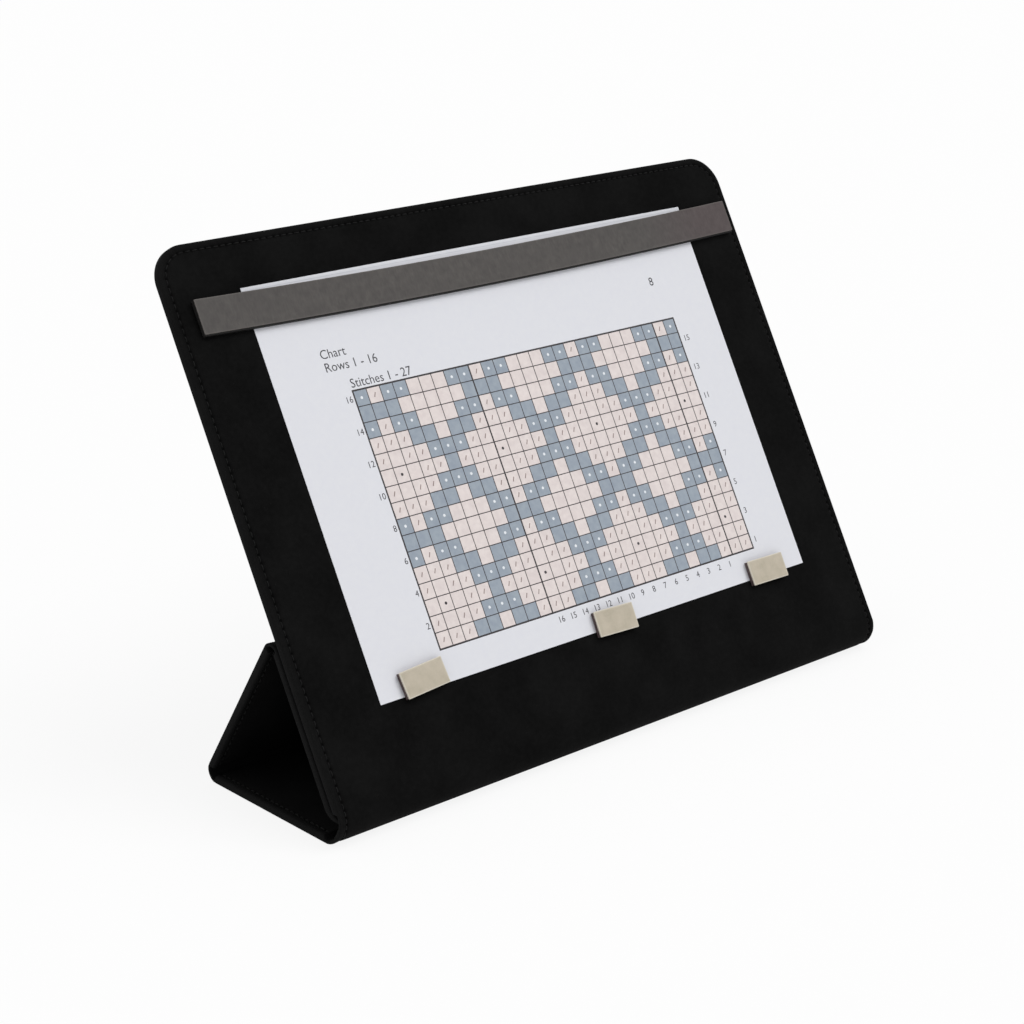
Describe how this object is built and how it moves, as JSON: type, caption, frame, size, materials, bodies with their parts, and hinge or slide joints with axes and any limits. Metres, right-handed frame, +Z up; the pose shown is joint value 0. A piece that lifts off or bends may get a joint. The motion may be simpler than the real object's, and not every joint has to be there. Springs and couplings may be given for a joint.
{
  "type": "magnetic knitting chart holder",
  "caption": "Free-standing padded magnetic board whose folding cover makes a triangular stand, with a sliding row marker strip and small sheet magnets on a chart.",
  "frame": {"origin": "middle of the base panel's underside, where the stand rests on the desk", "axes": "+X across the board to the right as its user sees it, +Y backwards, +Z up"},
  "size_m": [0.377, 0.1393, 0.2598],
  "materials": {
    "suede": "matt suede-like microfibre with fine nap",
    "lining": "matt fine microfibre",
    "thread": "matt sewing thread",
    "core_board": "dense grey board",
    "padding": "thin soft padding",
    "steel": "plain sheet steel",
    "latch_magnet": "plated disc magnet",
    "paper": "printed chart sheet, matt",
    "marker_face": "satin dark grey with fine cross grain",
    "marker_magnet": "matt flexible magnet",
    "clip_face": "satin beige with fine cross grain",
    "clip_magnet": "matt flexible magnet"
  },
  "bodies": {
    "board": {"board_front_cover": "suede", "board_padding": "padding", "board_steel_sheet": "steel", "board_core": "core_board", "board_back_cover": "lining", "board_stitching": "thread", "chart_sheet": "paper", "front_upper_fold": "suede"},
    "spine": {"spine_outer_cover": "suede", "spine_stiffener": "core_board", "spine_lining": "lining"},
    "base_panel": {"base_outer_cover": "suede", "base_core": "core_board", "base_lining": "lining", "base_stitching": "thread", "front_lower_fold": "suede", "rear_fold": "suede"},
    "rear_panel": {"rear_outer_cover": "suede", "rear_core": "core_board", "rear_lining": "lining", "rear_stitching": "thread", "top_fold": "suede"},
    "flap": {"flap_outer_cover": "suede", "flap_core": "core_board", "flap_magnets": "latch_magnet", "flap_lining": "lining", "flap_stitching": "thread"},
    "marker": {"marker_face": "marker_face", "marker_magnet": "marker_magnet"},
    "left_clip": {"left_clip_face": "clip_face", "left_clip_magnet": "clip_magnet"},
    "middle_clip": {"middle_clip_face": "clip_face", "middle_clip_magnet": "clip_magnet"},
    "right_clip": {"right_clip_face": "clip_face", "right_clip_magnet": "clip_magnet"}
  },
  "joints": [
    {"name": "cover_fold", "type": "hinge", "parent": "board", "child": "spine", "pos_m": [0, -0.05514, 0.01422], "axis": [-1, 0, 0], "range_deg": [0, 149], "deforming": ["front_upper_fold"]},
    {"name": "spine_fold", "type": "hinge", "parent": "spine", "child": "base_panel", "pos_m": [0, -0.04782, 0.00179], "axis": [-1, 0, 0], "range_deg": [0, 149], "deforming": ["front_lower_fold"]},
    {"name": "stand_fold", "type": "hinge", "parent": "base_panel", "child": "rear_panel", "pos_m": [0, 0.043, 0.0064], "axis": [-1, 0, 0], "range_deg": [0, 120], "deforming": ["rear_fold"]},
    {"name": "flap_fold", "type": "hinge", "parent": "rear_panel", "child": "flap", "pos_m": [0, -0.00606, 0.0817], "axis": [-1, 0, 0], "range_deg": [-60, 0], "deforming": ["top_fold"]},
    {"name": "marker_slide", "type": "slide", "parent": "board", "child": "marker", "axis": [0, 0.4848, 0.8746], "range_m": [-0.172, 0.02]},
    {"name": "left_clip_slide", "type": "slide", "parent": "board", "child": "left_clip", "axis": [0, -0.4848, -0.8746], "range_m": [0, 0.03]},
    {"name": "middle_clip_slide", "type": "slide", "parent": "board", "child": "middle_clip", "axis": [0, -0.4848, -0.8746], "range_m": [0, 0.03]},
    {"name": "right_clip_slide", "type": "slide", "parent": "board", "child": "right_clip", "axis": [0, -0.4848, -0.8746], "range_m": [0, 0.03]}
  ],
  "couplings": [
    {"joint": "spine_fold", "follows": "cover_fold", "ratio": 1},
    {"joint": "flap_fold", "follows": "stand_fold", "ratio": -0.5}
  ]
}
